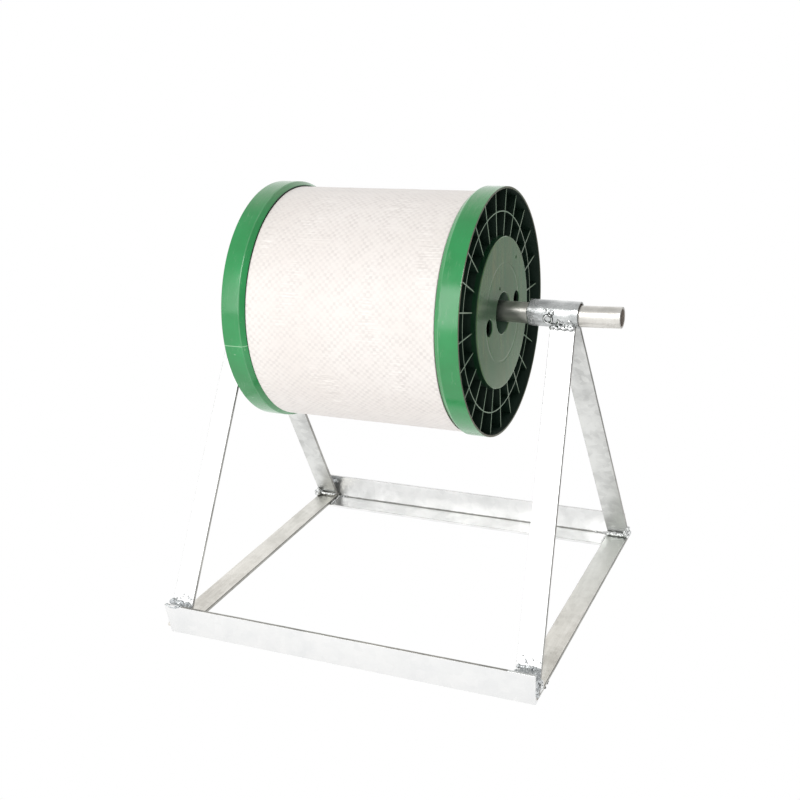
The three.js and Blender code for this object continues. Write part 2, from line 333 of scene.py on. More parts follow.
def rim_marks_and_sheen(tree, where, colour):
    """Marks on a rim, from its wound side outwards: dust, the moulding seam, specks and scratches, with
    painted light: a pale sheen on top, partly dust and partly the sky's reflection, a pale painted
    reflection of the floor low down, and a painted highlight along the bevel's corner.
    """
    x, y, z = split(tree, where)
    streaks = noise_of(tree, stretched(tree, where, (9.0, 0.7, 0.7)), 45, 4, 0.65)
    # Painted light: the top's sheen is partly dust, partly the sky's reflection; the low sheen is a
    # painted reflection of the floor.
    dust_and_sky_sheen_top = z.remap(0.17, 0.2, 0.0, 0.35) * streaks.remap(0.3, 0.62, 0.25, 1.0)
    painted_floor_sheen_low = z.remap(-0.09, -0.19, 0.0, 0.35) * streaks.remap(0.3, 0.65, 0.3, 1.0)
    off_seam = abs(y * math.sin(SEAM_ANGLE) + z * math.cos(SEAM_ANGLE))
    seam = off_seam.remap(0.4 * MM, 0.9 * MM, 0.75, 0.0) * y.remap(0.0, 0.01)
    # Painted highlight along the corner where the bevel meets the rim.
    off_corner = abs(x - RIM_BEVEL_AXIAL)
    corner = off_corner.remap(0.5 * MM, 1.4 * MM, 0.3, 0.0) * streaks.remap(0.35, 0.6, 0.2, 1.0)
    scratches = noise_of(tree, stretched(tree, where, (0.35, 1.6, 0.4)), 130, 2, 0.5, 0.6)
    scratch = scratches.remap(0.7, 0.74, 0.0, 0.5) * y.remap(0.05, 0.15)
    return lay_over(tree, colour, (dust_and_sky_sheen_top, (0.25, 0.30, 0.21)), (painted_floor_sheen_low, (0.13, 0.27, 0.14)),
                    (seam, (0.3, 0.55, 0.33)), (corner, (0.2, 0.42, 0.24)),
                    (specks(tree, where, 34, 0.035, 0.06, 0.8), (0.55, 0.6, 0.42)),
                    (scratch, (0.3, 0.5, 0.32)))


def disc_film_and_axle_reflection(tree, where, colour):
    """A thin brownish film on the disc, run down in streaks, and a painted dark reflection of the axle: a
    patch beside the bore where the glossy disc mirrors the axle.
    """
    _, y, z = split(tree, where)
    runs = noise_of(tree, stretched(tree, where, (1.0, 1.0, 0.13)), 115, 4, 0.62, 0.7)
    broad = noise_of(tree, stretched(tree, where, (1.0, 1.0, 0.3)), 22, 3, 0.6)
    film = runs.remap(0.35, 0.68) * broad.remap(0.3, 0.7, 0.2, 0.65)
    # Painted reflection: the darker patch where the axle is mirrored in the disc.
    axle_mirror_y = -60 * MM
    axle_mirror_z = 22 * MM
    above = abs(z - axle_mirror_z + (broad - 0.5) * (50 * MM)).remap(12 * MM, 34 * MM, 1.0, 0.0)
    beside = abs(y - axle_mirror_y).remap(30 * MM, 65 * MM, 1.0, 0.0)
    return lay_over(tree, colour, (film, (0.165, 0.17, 0.075)),
                    (above * beside * 0.85, (0.004, 0.055, 0.02)))


TAPE = 5.5 * MM
WRAP_LIGHT = (0.725, 0.688, 0.66)
WRAP_DARK = (0.685, 0.643, 0.61)


def vector_math(tree, operation, *values):
    return add_node(tree, "ShaderNodeVectorMath", dict(enumerate(values)), operation=operation).outputs[0]


def wandering(tree, uv):
    """The sheet's own coordinates, bent a little, so that the tapes do not run dead straight."""
    drift = add_node(tree, "ShaderNodeTexNoise", {"Vector": uv, "Scale": 60.0, "Detail": 2.0})
    drift = vector_math(tree, "SUBTRACT", drift.outputs["Color"], (0.5, 0.5, 0.5))
    drift = vector_math(tree, "MULTIPLY", drift, (5 * MM, 4 * MM, 0.0))
    return vector_math(tree, "ADD", uv, drift)


def woven_sheet():
    """Flat polypropylene tape in a plain weave: u runs along the spool, v round it, both in metres."""
    material, tree, shader, where = new_material("woven_sheet")
    uv_map = tree.nodes.new("ShaderNodeUVMap")
    uv_map.uv_map = "cloth"
    uv = uv_map.outputs["UV"]
    along, around, _ = split(tree, wandering(tree, uv))
    wave_u = calculate(tree, "SINE", along / TAPE * math.pi)
    wave_v = calculate(tree, "SINE", around / TAPE * math.pi)
    crossing = wave_u * wave_v
    over = crossing.remap(-0.4, 0.4)
    base = ramp(tree, noise_of(tree, where, 7, 3, 0.55), (0.35, WRAP_DARK), (0.66, WRAP_LIGHT))
    shade = (1.0 - over) * noise_of(tree, uv, 55, 3, 0.6).remap(0.35, 0.68, 0.15, 1.0)
    blur = noise_of(tree, stretched(tree, uv, (60.0, 140.0, 1.0)), 1.0, 2, 0.5)
    slub = noise_of(tree, stretched(tree, uv, (26.0, 430.0, 1.0)), 1.0, 1, 0.4)
    columns = noise_of(tree, stretched(tree, uv, (16.0, 5.0, 1.0)), 1.0, 1, 0.5)
    drawn = columns.remap(0.5, 0.64)
    colour = lay_over(tree, base, (shade, (0.6, 0.562, 0.537)),
                      (blur.remap(0.55, 0.75, 0.0, 0.2), (0.62, 0.55, 0.53)),
                      (slub.remap(0.6, 0.66, 0.0, 0.55) * drawn, (0.84, 0.81, 0.78)),
                      (slub.remap(0.4, 0.34, 0.0, 0.7) * drawn, (0.58, 0.54, 0.51)))
    pillow = bump(tree, abs(crossing) ** 0.5, 0.3, 0.3 * MM)
    cover(tree, shader, colour, over.remap(0.0, 1.0, 0.42, 0.52), pillow)
    shader.inputs["Sheen Weight"].default_value = 0.05
    return material


def wound_edge():
    """Edges of many turns of sheet: fine rings of slightly different tone."""
    material, tree, shader, where = new_material("wound_edge")
    _, y, z = split(tree, where)
    radius = calculate(tree, "SQRT", y ** 2.0 + z ** 2.0)
    rings = add_node(tree, "ShaderNodeTexNoise", {"W": radius * 1500.0}, noise_dimensions="1D")
    turns = rings.outputs["Fac"]
    colour = ramp(tree, turns, (0.3, (0.62, 0.57, 0.5)), (0.7, (0.83, 0.79, 0.73)))
    cover(tree, shader, colour, 0.8, bump(tree, turns, 0.4, 0.4 * MM))
    return material


ZINC = galvanised("zinc_bright", (0.69, 0.69, 0.685), (0.63, 0.635, 0.635), 0.36)
ZINC_FLAT = galvanised("zinc_flat_bar", (0.72, 0.7, 0.65), (0.61, 0.59, 0.545), 0.4, cooler_at_the_back)
ZINC_BACK_LEG = galvanised("zinc_back_leg", (0.67, 0.675, 0.66), (0.5, 0.505, 0.495), 0.4)
ZINC_RAIL = galvanised("zinc_front_rail", (0.75, 0.75, 0.745), (0.7, 0.705, 0.705), 0.38)
ZINC_BACK = galvanised("zinc_back_rail", (0.77, 0.77, 0.765), (0.69, 0.695, 0.69), 0.36, dark_root)
# Painted shade: darker zincs for bar edges, partly a duller skin; the flat bars' rounded corners are all
# painted shade.
ZINC_SIDE_SHADED = galvanised("zinc_flat_side_shaded", (0.36, 0.355, 0.33), (0.28, 0.275, 0.255), 0.45)
ZINC_CORNER_SHADE = galvanised("zinc_flat_corner_shade", (0.15, 0.145, 0.135), (0.09, 0.09, 0.08), 0.5)
ZINC_EDGE_DULL_AND_SHADED = galvanised("zinc_rolled_edge", (0.4, 0.395, 0.37), (0.27, 0.265, 0.25), 0.45)
PIPE_INSIDE = galvanised("zinc_inside", (0.55, 0.5, 0.45), (0.4, 0.36, 0.32), 0.6)
ZINC_SLEEVE = dipped_pipe("zinc_sleeve", (0.59, 0.605, 0.6), (0.37, 0.385, 0.385), 0.24, 1.0)
ZINC_AXLE = dipped_pipe("zinc_axle", (0.65, 0.635, 0.6), (0.54, 0.525, 0.49), 0.34, 0.35,
                        flange_shade_on_axle)
WELD = weld_metal("weld_rough", (0.6, 0.62, 0.625), (0.36, 0.38, 0.39), 0.42, 0.5)
# Painted shade and dark reflections on welds, not a colour of the zinc.
WELD_PAINTED_SHADE = weld_metal("weld_painted_shade", (0.2, 0.205, 0.2), (0.07, 0.075, 0.07), 0.45, 0.3)
WELD_GLOSS = weld_metal("weld_melted", (0.76, 0.77, 0.765), (0.5, 0.51, 0.51), 0.2, 0.5)
GREEN_RIM = green_plastic("green_rim", (0.005, 0.185, 0.04), (0.009, 0.24, 0.06), (0.3, 0.42, 0.3),
                          0.4, 0.18, 0.68, rim_marks_and_sheen)
# Painted shade: the pockets, pits and hub tube are darkened far below the plastic's own green, for the
# shade deep in the recesses.
GREEN_POCKET_SHADED = green_plastic("green_pocket_shaded", (0.002, 0.014, 0.007), (0.004, 0.024, 0.012),
                             (0.03, 0.06, 0.04), 0.3, 0.55)
GREEN_DISC = green_plastic("green_disc", (0.012, 0.1, 0.03), (0.02, 0.135, 0.05), (0.2, 0.26, 0.17),
                           0.4, 0.17, 0.85, disc_film_and_axle_reflection, gloss=(0.84, 0.98, 0.6))
# Rib tops: dust and wear, with a painted highlight where the thin edges catch the light.
GREEN_RIB_TOP_DUST_AND_HIGHLIGHT = green_plastic("green_rib_edge", (0.2, 0.3, 0.2), (0.36, 0.44, 0.34), (0.5, 0.55, 0.5),
                           0.5, 0.5)
# Painted shade: the disc's side wall between the ribs is darkened for the shade down in the pockets.
GREEN_WALL_SHADED = green_plastic("green_wall_shaded", (0.003, 0.025, 0.009), (0.006, 0.045, 0.016),
                           (0.06, 0.12, 0.07), 0.4, 0.3)
GREEN_LIP = green_plastic("green_lip", (0.07, 0.11, 0.06), (0.17, 0.14, 0.1), (0.42, 0.36, 0.3),
                          0.6, 0.45)
GREEN_BORE = green_plastic("green_bore", (0.006, 0.05, 0.018), (0.012, 0.075, 0.03),
                           (0.08, 0.16, 0.1), 0.3, 0.4)
WOVEN = woven_sheet()
WOUND = wound_edge()

# a flange's materials, and their places on it
FLANGE_MATERIALS = (GREEN_RIM, GREEN_POCKET_SHADED, GREEN_DISC, GREEN_RIB_TOP_DUST_AND_HIGHLIGHT, GREEN_WALL_SHADED, GREEN_LIP, GREEN_BORE)
RIM, POCKET, DISC, RIB_EDGE, WALL, LIP, BORE = range(7)


# ======== mesh helpers
def add_object(name, data):
    made = bpy.data.objects.new(name, data)
    bpy.context.scene.collection.objects.link(made)
    return made


def mesh_object(name, mesh, materials=()):
    for material in materials:
        mesh.materials.append(material)
    return add_object(name, mesh)


def from_bmesh(name, bm, materials=()):
    bmesh.ops.recalc_face_normals(bm, faces=bm.faces)
    mesh = bpy.data.meshes.new(name)
    bm.to_mesh(mesh)
    bm.free()
    return mesh_object(name, mesh, materials)


def smooth(piece, angle=32):
    """Smooth shading that keeps corners sharper than angle, with flat faces kept flat."""
    piece.data.shade_smooth()
    piece.data.set_sharp_from_angle(angle=math.radians(angle))
    weighted = piece.modifiers.new("weighted", "WEIGHTED_NORMAL")
    weighted.keep_sharp = True


def settle(piece):
    """Replaces the piece's mesh by what its modifiers make of it."""
    graph = bpy.context.evaluated_depsgraph_get()
    mesh = bpy.data.meshes.new_from_object(piece.evaluated_get(graph))
    piece.modifiers.clear()
    piece.data = mesh


def finish_piece(piece, body, node):
    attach(piece, body)
    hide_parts(node)


def rounded(outline, radius, steps=3, wide=None):
    """The closed outline with its corners rounded by at most radius, or by more at those in wide."""
    points = []
    for index, corner in enumerate(outline):
        here = Vector(corner)
        before = Vector(outline[index - 1]) - here
        after = Vector(outline[(index + 1) % len(outline)]) - here
        wanted = (wide or {}).get(corner, radius)
        reach = min(wanted, 0.45 * before.length, 0.45 * after.length)
        start = here + before.normalized() * reach
        end = here + after.normalized() * reach
        for step in range(steps + 1):
            t = step / steps
            points.append(start * (1 - t) ** 2 + here * 2 * t * (1 - t) + end * t ** 2)
    return points


def bridge(bm, here, there):
    """Joins two rings of vertices by a band of faces."""
    count = len(here)
    for k in range(count):
        bm.faces.new((here[k], here[(k + 1) % count], there[(k + 1) % count], there[k]))


def revolve(outline, sides):
    """A bmesh of the closed (radius, distance) outline turned about X."""
    bm = bmesh.new()
    rings = []
    for side in range(sides):
        angle = TAU * side / sides
        rings.append([bm.verts.new((a, r * math.cos(angle), r * math.sin(angle))) for r, a in outline])
    for side in range(sides):
        bridge(bm, rings[side], rings[(side + 1) % sides])
    return bm


def combine(piece, others, operation):
    """Joins the others to the piece or cuts them out of it, and removes them."""
    for other in others:
        modifier = piece.modifiers.new("combine", "BOOLEAN")
        modifier.operation = operation
        modifier.solver = "MANIFOLD"
        modifier.object = other
    settle(piece)
    for other in others:
        bpy.data.objects.remove(other)


# ======== flanges
def flange_outline():
    """Closed (radius, distance from the wound side) section, its corners eased."""
    inner = DISC_R - DISC_WALL
    socket = TUBE_R + 0.3 * MM
    plate_back = FLANGE_WIDTH - DISC_PLATE
    groove = 0.2 * MM
    sharp = [
        (inner, 0),
        (FLANGE_R - RIM_BEVEL_RADIAL, 0),
        (FLANGE_R, RIM_BEVEL_AXIAL),
        (FLANGE_R, FLANGE_WIDTH),
        (FLANGE_R - RIM_LIP, FLANGE_WIDTH),
        (FLANGE_R - RIM_LIP - 1 * MM, WEB),
        (DISC_R + 1 * MM, WEB),
        (DISC_R + 0.4 * MM, RIB_TOP - 1 * MM),
        (DISC_R, FLANGE_WIDTH),
        (MOULD_RING_R + 2.4 * MM, FLANGE_WIDTH),
        (MOULD_RING_R + 1.6 * MM, FLANGE_WIDTH - groove),
        (MOULD_RING_R - 1.6 * MM, FLANGE_WIDTH - groove),
        (MOULD_RING_R - 2.4 * MM, FLANGE_WIDTH),
        (CONE_R, FLANGE_WIDTH),
        (socket, CONE_END),
        (socket, 0),
        (socket + DISC_WALL, 0),
        (socket + DISC_WALL, CONE_END),
        (CONE_R + DISC_WALL, plate_back),
        (inner, plate_back),
    ]
    return rounded(sharp, 1.3 * MM, wide={(DISC_R, FLANGE_WIDTH): 2.6 * MM})


def rib(angle):
    """A thin tapered wall from the disc to the rim, with a rounded top edge."""
    half = RIB_THICK / 2
    foot = WEB - 1 * MM
    shoulder = RIB_TOP - 0.5 * MM
    section = [(foot, -half * 1.25), (foot, half * 1.25), (shoulder, half), (RIB_TOP, half * 0.55),
               (RIB_TOP, -half * 0.55), (shoulder, -half)]
    bm = bmesh.new()
    ends = []
    for radius in (DISC_R - 1 * MM, FLANGE_R - RIM_LIP + 1 * MM):
        ends.append([bm.verts.new((a, y, radius)) for a, y in section])
    bridge(bm, *ends)
    for end in ends:
        bm.faces.new(end)
    bmesh.ops.rotate(bm, cent=(0, 0, 0), matrix=Matrix.Rotation(angle, 3, "X"), verts=bm.verts)
    return from_bmesh("rib", bm)


def ring_rib():
    half = RIB_THICK / 2
    foot = WEB - 1 * MM
    outline = [(RING_RIB_R - half, foot), (RING_RIB_R + half, foot), (RING_RIB_R + half, RIB_TOP),
               (RING_RIB_R - half, RIB_TOP)]
    return from_bmesh("ring_rib", revolve(rounded(outline, 0.5 * MM, 2), RING_RIB_SIDES))


def drive_hole(sign):
    """What is cut out for a driving hole with a broken edge."""
    break_edge = 0.9 * MM
    deep = FLANGE_WIDTH - 2 * DISC_PLATE
    outline = [(deep, DRIVE_HOLE_R), (FLANGE_WIDTH - break_edge, DRIVE_HOLE_R),
               (FLANGE_WIDTH + break_edge, DRIVE_HOLE_R + 2 * break_edge)]
    sides = 48
    bm = bmesh.new()
    rings = []
    for a, r in outline:
        angles = [TAU * side / sides for side in range(sides)]
        rings.append([bm.verts.new((a, r * math.cos(angle), r * math.sin(angle))) for angle in angles])
    for here, there in zip(rings, rings[1:]):
        bridge(bm, here, there)
    bm.faces.new(rings[0])
    bm.faces.new(rings[-1])
    hole = from_bmesh("drive_hole", bm)
    away = DRIVE_HOLE_AT * sign
    hole.location = (0, away * math.cos(DRIVE_HOLE_ANGLE), away * math.sin(DRIVE_HOLE_ANGLE))
    return hole


def pit(y, z):
    """What is cut out for a round pit in the disc."""
    bm = bmesh.new()
    bmesh.ops.create_icosphere(bm, subdivisions=2, radius=PIT_R)
    hollow = from_bmesh("pit", bm)
    hollow.location = (FLANGE_WIDTH - 0.6 * MM, y, z)
    return hollow


def flange_part(a, radius, facing):
    """The part of a flange that a face belongs to, by its place and by how it faces along X."""
    lip_r = FLANGE_R - RIM_LIP
    if radius > lip_r and a > FLANGE_WIDTH - 0.7 * MM and facing > 0.5:
        return LIP
    if radius > lip_r + 0.3 * MM or -0.9 < facing < -0.2 and radius > DISC_R and a < RIM_BEVEL_AXIAL:
        return RIM
    if radius < DISC_R - 0.2 * MM and a > FLANGE_WIDTH - 1.5 * MM:
        return DISC
    if radius > DISC_R + 1.5 * MM and abs(a - RIB_TOP) < 0.6 * MM and facing > 0.5:
        return RIB_EDGE
    if DISC_R - 0.2 * MM < radius < DISC_R + 1.5 * MM and a > RIB_TOP - 1.5 * MM:
        return WALL
    if radius < CONE_R + 1 * MM and a > CONE_END - 1 * MM:
        return BORE
    return POCKET


def paint_flange(piece):
    piece.data.materials.clear()
    for material in FLANGE_MATERIALS:
        piece.data.materials.append(material)
    for face in piece.data.polygons:
        at = face.center
        face.material_index = flange_part(at.x, math.hypot(at.y, at.z), face.normal.x)


def flanges():
    right = from_bmesh("reel_flange_right", revolve(flange_outline(), FLANGE_SIDES))
    ribs = [rib(TAU * k / RIB_COUNT) for k in range(RIB_COUNT)]
    combine(right, [ring_rib(), *ribs], "UNION")
    combine(right, [drive_hole(-1), drive_hole(1)], "DIFFERENCE")
    left = mesh_object("reel_flange_left", right.data.copy())
    combine(right, [pit(y, z) for y, z in DISC_PITS], "DIFFERENCE")
    right.location = (RIGHT_LOW.x, 0, REEL_Z)
    left.location = (LEFT_HIGH.x, 0, REEL_Z)
    left.rotation_euler.z = math.pi
    for piece, node in ((right, "right_flange"), (left, "left_flange")):
        paint_flange(piece)
        smooth(piece)
        finish_piece(piece, "reel", node)


# ======== core and winding
def reel_piece(name, outline, sides, material, node):
    """A turned piece on the reel's centre line."""
    piece = from_bmesh(name, revolve(outline, sides), (material,))
    piece.location = (0, 0, REEL_Z)
    smooth(piece)
    finish_piece(piece, "reel", node)


def tube_outline(inner, outer, x0, x1, corner):
    return rounded([(inner, x0), (outer, x0), (outer, x1), (inner, x1)], corner)


def core():
    barrel = tube_outline(BARREL_R - 4 * MM, BARREL_R, BARREL_LOW.x, BARREL_HIGH.x, 0.6 * MM)
    reel_piece("reel_barrel", barrel, REEL_SIDES, GREEN_RIM, "barrel")
    hub = tube_outline(TUBE_R - TUBE_WALL, TUBE_R, TUBE_LOW.x, TUBE_HIGH.x, 0.8 * MM)
    reel_piece("reel_hub_tube", hub, 64, GREEN_POCKET_SHADED, "hub_tube")


def wound_pack():
    """The wound turns: a ring whose two ends are stepped where turns sit a little in or out."""
    outer = (PACK_HIGH.z - PACK_LOW.z) / 2
    inner = BARREL_R + 0.3 * MM
    step = 1.1 * MM
    rng = random.Random(4)
    bands = 26
    right = []
    left = []
    for k in range(bands + 1):
        radius = inner + (outer - inner) * k / bands
        right.append((radius, PACK_HIGH.x - rng.uniform(0.0, step)))
        left.append((radius, PACK_LOW.x + rng.uniform(0.0, step)))
    reel_piece("wound_turns", left + right[::-1], REEL_SIDES, WOUND, "wound_pack")


SHEET = 0.5 * MM
LAP = 0.16  # radians that the free end laps over the start
LAP_LIFT = 0.9 * MM
LAP_START = math.radians(150)
STEPS_ALONG = 130
STEPS_ROUND = 420


def wrap_row(turn):
    """Points across the sheet, where it has gone round by turn."""
    tight = WRAP_HIGH.z - REEL_Z
    slack = REEL_Z - WRAP_LOW.z
    angle = LAP_START + turn
    lifted = min(1.0, max(0.0, (turn - TAU + LAP) / LAP)) - 1.0
    middle = (tight + slack) / 2 - SHEET + LAP_LIFT * lifted
    inset = 0.6 * MM + noise.noise(Vector((angle * 2.5, 7.0, 0.0))) * 0.3 * MM
    row = []
    for j in range(STEPS_ALONG + 1):
        x = WRAP_LOW.x + (WRAP_HIGH.x - WRAP_LOW.x) * j / STEPS_ALONG
        swell = noise.noise(Vector((x * 9, math.cos(angle) * 2.2, math.sin(angle) * 2.2)))
        fine = noise.noise(Vector((x * 30, math.cos(angle) * 9, math.sin(angle) * 9)))
        radius = middle + swell * 0.45 * MM + fine * 0.12 * MM
        x = min(max(x, WRAP_LOW.x + inset), WRAP_HIGH.x - inset)
        z = REEL_Z + radius * math.cos(angle) - (slack - tight) / 2
        row.append(Vector((x, radius * math.sin(angle), z)))
    return row


def wrap():
    """The last turn, one sheet that lies tight on top and hangs a little slack below."""
    bm = bmesh.new()
    uv_layer = bm.loops.layers.uv.new("cloth")
    rows = []
    arc = [0.0]
    for i in range(STEPS_ROUND + 1):
        row = [bm.verts.new(point) for point in wrap_row((TAU + LAP) * i / STEPS_ROUND)]
        rows.append(row)
        if i:
            centre = STEPS_ALONG // 2
            arc.append(arc[-1] + (row[centre].co - rows[-2][centre].co).length)
    for i in range(STEPS_ROUND):
        for j in range(STEPS_ALONG):
            corners = (rows[i][j], rows[i][j + 1], rows[i + 1][j + 1], rows[i + 1][j])
            face = bm.faces.new(corners)
            for loop, v in zip(face.loops, (arc[i], arc[i], arc[i + 1], arc[i + 1])):
                loop[uv_layer].uv = (loop.vert.co.x - WRAP_LOW.x, v)
    mesh = bpy.data.meshes.new("woven_wrap")
    bm.to_mesh(mesh)
    bm.free()
    piece = mesh_object("woven_wrap", mesh, (WOVEN,))
    piece.data.shade_smooth()
    thickness = piece.modifiers.new("thickness", "SOLIDIFY")
    thickness.thickness = SHEET
    thickness.offset = 0
    finish_piece(piece, "reel", "wrap_sheet")


# ======== steel bars
def steel_from_cad(node, material, bevel=0.9 * MM, slices=60, along=None):
    """The CAD bar with rounded edges, cut into slices so that its zinc skin can wander a little."""
    uneven = 0.18 * MM
    bm = bmesh.new()
    bm.from_mesh(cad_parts[node].data)
    bmesh.ops.remove_doubles(bm, verts=bm.verts, dist=0.01 * MM)
    bmesh.ops.dissolve_limit(bm, angle_limit=math.radians(4), verts=bm.verts, edges=bm.edges)
    sharp = [e for e in bm.edges if len(e.link_faces) == 2 and e.calc_face_angle(0) > math.radians(35)]
    bmesh.ops.bevel(bm, geom=sharp, offset=bevel, segments=3, profile=0.5, affect="EDGES",
                    clamp_overlap=True)
    low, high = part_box(node)
    size = high - low
    if along is None:
        along = max(range(3), key=lambda k: size[k])
    normal = Vector([1.0 if k == along else 0.0 for k in range(3)])
    for k in range(1, slices):
        point = low + normal * (size[along] * k / slices)
        geometry = bm.verts[:] + bm.edges[:] + bm.faces[:]
        bmesh.ops.bisect_plane(bm, geom=geometry, plane_co=point, plane_no=normal)
    bmesh.ops.triangulate(bm, faces=[f for f in bm.faces if len(f.verts) > 4])
    for vert in bm.verts:
        wander = noise.noise_vector(vert.co * 22) + noise.noise_vector(vert.co * 70) * 0.35
        vert.co += wander * uneven
    piece = from_bmesh("steel_" + node, bm, (material,))
    smooth(piece, 40)
    finish_piece(piece, "stand", node)
    return piece


def repaint(piece, material, chosen):
    """Gives another material to the faces chosen by their centre and normal."""
    piece.data.materials.append(material)
    for face in piece.data.polygons:
        if chosen(face.center, face.normal):
            face.material_index = len(piece.data.materials) - 1


def bars():
    """Rolled and sawn edges of a bar are painted darker than its broad faces: partly a duller zinc skin,
    partly painted shade where they turn away from the lamps, and the flat bars' rounded corners wholly
    painted shade.
    """
    low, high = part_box("front_rail")
    crest = high.z - 1.2 * MM
    crest_end = high.x - 42 * MM
    drips = low.x + 8 * MM
    drips_end = drips + 26 * MM

    def dark_crest_and_ends(at, n):
        on_crest = n.z > 0.7 and at.z > crest and at.x < crest_end
        return n.x < -0.6 or on_crest and not drips < at.x < drips_end

    piece = steel_from_cad("front_rail", ZINC_RAIL)
    repaint(piece, ZINC_EDGE_DULL_AND_SHADED, dark_crest_and_ends)
    piece = steel_from_cad("back_rail", ZINC_BACK)
    repaint(piece, ZINC_EDGE_DULL_AND_SHADED, lambda at, n: n.x < -0.6 or n.y < -0.3 and n.z > 0.3)
    for node in ("left_rail", "right_rail"):
        piece = steel_from_cad(node, ZINC_FLAT, bevel=1.4 * MM)
        repaint(piece, ZINC_CORNER_SHADE, lambda at, n: 0.3 < abs(n.x) < 0.9)
        repaint(piece, ZINC_SIDE_SHADED, lambda at, n: abs(n.x) >= 0.9)
    for end, zinc in (("front", ZINC), ("back", ZINC_BACK_LEG)):
        for side in ("left", "right"):
            piece = steel_from_cad(f"{end}_{side}_leg", zinc, slices=50, along=2)
            repaint(piece, ZINC_EDGE_DULL_AND_SHADED, lambda at, n: abs(n.x) > 0.55)


# ======== pipes
def pipe(node, wall, material, body, wobble, seed, bend):
    """A pipe along X with rounded, slightly uneven ends; bend moves a point of its skin."""
    low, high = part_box(node)
    outer = (high.z - low.z) / 2
    inner = outer - wall
    shift = random.Random(seed).uniform(0, 50)
    outline = tube_outline(inner, outer, low.x, high.x, 0.7 * MM)
    stations = 70
    section = []
    for index, point in enumerate(outline):
        section.append(point)
        follower = outline[(index + 1) % len(outline)]
        if abs(follower[1] - point[1]) > 20 * MM:
            section += [point.lerp(follower, k / stations) for k in range(1, stations)]
    bm = revolve(section, PIPE_SIDES)
    for vert in bm.verts:
        spot = vert.co * 30 + Vector((shift, 0, 0))
        radial = Vector((0, vert.co.y, vert.co.z)).normalized()
        vert.co = bend(vert.co + radial * noise.noise(spot) * wobble)
    piece = from_bmesh("steel_" + node, bm, (material,))
    middle = (inner + outer) / 2
    repaint(piece, PIPE_INSIDE, lambda at, n: math.hypot(at.y, at.z) < middle and abs(n.x) < 0.7)
    piece.location = (0, 0, (low.z + high.z) / 2)
    smooth(piece, 45)
    finish_piece(piece, body, node)


def ragged_end(end, inward):
    """Moves points near x = end, where the zinc has run off and left the end a little ragged."""
    reach = 8 * MM
    depth = 2.2 * MM

    def melt(point):
        near = max(0.0, 1.0 - abs(point.x - end) / reach)
        ragged = noise.noise(Vector((0.0, point.y * 90, point.z * 90))) + 0.45
        return Vector((point.x + inward * max(0.0, ragged) * depth * near, point.y, point.z))

    return melt


def lifted_end(point):
    """The long end of the axle is bent up very slightly."""
    past = max(0.0, (point.x - SLEEVE_HIGH.x) / (AXLE_END - SLEEVE_HIGH.x))
    return Vector((point.x, point.y, point.z + 2.0 * MM * past ** 1.5))


def pipes():
    for side, seed in (("right", 1), ("left", 2)):
        low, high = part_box(side + "_sleeve")
        melt = ragged_end(low.x, 1.0) if side == "right" else ragged_end(high.x, -1.0)
        pipe(f"{side}_sleeve", SLEEVE_WALL, ZINC_SLEEVE, "stand", 0.3 * MM, seed, melt)
    pipe("axle", PIPE_WALL, ZINC_AXLE, "axle", 0.12 * MM, 3, lifted_end)


# ======== welds
def blob_mesh(name, balls, material, voxel):
    """One lumpy skin over many overlapping balls, each (centre, (rx, ry, rz))."""
    bm = bmesh.new()
    for centre, radii in balls:
        shape = Matrix.Translation(centre) @ Matrix.Diagonal((*radii, 1))
        bmesh.ops.create_icosphere(bm, subdivisions=2, radius=1.0, matrix=shape)
    piece = from_bmesh(name, bm)
    remesh = piece.modifiers.new("skin", "REMESH")
    remesh.mode = "VOXEL"
    remesh.voxel_size = voxel
    melt = piece.modifiers.new("melt", "SMOOTH")
    melt.factor = 0.5
    melt.iterations = 2
    settle(piece)
    piece.data.materials.append(material)
    piece.data.shade_smooth()
    return piece


def ball(x, y, z, r, flat=1.0):
    return Vector((x, y, z)), (r, r, r * flat)


def up_to(count):
    """Even steps from 0 to 1, both included."""
    return [k / (count - 1) for k in range(count)]


class LegFace:
    """The outer face of a leg, which leans inwards as it rises."""

    def __init__(self, end, side):
        self.low, self.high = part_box(f"{end}_{side}_leg")
        self.on_right = side == "right"
        self.out = -1 if end == "front" else 1

    def y_at(self, z):
        foot = self.low.y if self.out < 0 else self.high.y
        return foot - self.out * LEG_SLOPE * (z - self.low.z)

    def x_at(self, z, share):
        """The place at that share of the leg's width, counted from its left edge."""
        lean = LEG_LEAN * (z - self.low.z)
        if self.on_right:
            return self.high.x - lean - (1 - share) * FLAT_WIDTH
        return self.low.x + lean + share * FLAT_WIDTH


def toe_filler(leg, low, high, crown, rng):
    """Filler heaped in the gap between the leg and the rail."""
    count = 70
    for k in range(count):
        z = crown - rng.uniform(1.5, 6.0) * MM
        deep = rng.uniform(0.0, 1.0)
        inner = leg.y_at(z) + leg.out * 2.5 * MM
        outer = (low.y if leg.out < 0 else high.y) - leg.out * 2.5 * MM
        x = low.x + 3 * MM + (high.x - low.x - 6 * MM) * (k + 0.5) / count
        yield ball(x, inner + (outer - inner) * deep, z, rng.uniform(2.6, 4.4) * MM, 0.8)


def toe_crest(leg, crown, rng):
    """Lumps along the filler's upper edge."""
    for _ in range(26):
        share = rng.uniform(0.06, 0.94)
        z = crown + rng.uniform(-2.0, 1.5) * MM
        r = rng.uniform(1.6, 3.2) * MM
        yield ball(leg.x_at(z, share), leg.y_at(z) + leg.out * 0.3 * r, z, r)


def toe_knuckles(leg, crown):
    """Four big lumps at the left edge of a heaped weld."""
    for x, z, r in ((-1.0, 0.0, 4.2), (1.5, 3.0, 3.4), (4.0, 0.0, 4.0), (13.0, -1.0, 3.4)):
        at = crown + z * MM
        y = leg.y_at(at) + leg.out * r * 0.5 * MM
        yield ball(leg.x_at(at, 0.0) + x * MM, y, at, r * MM)


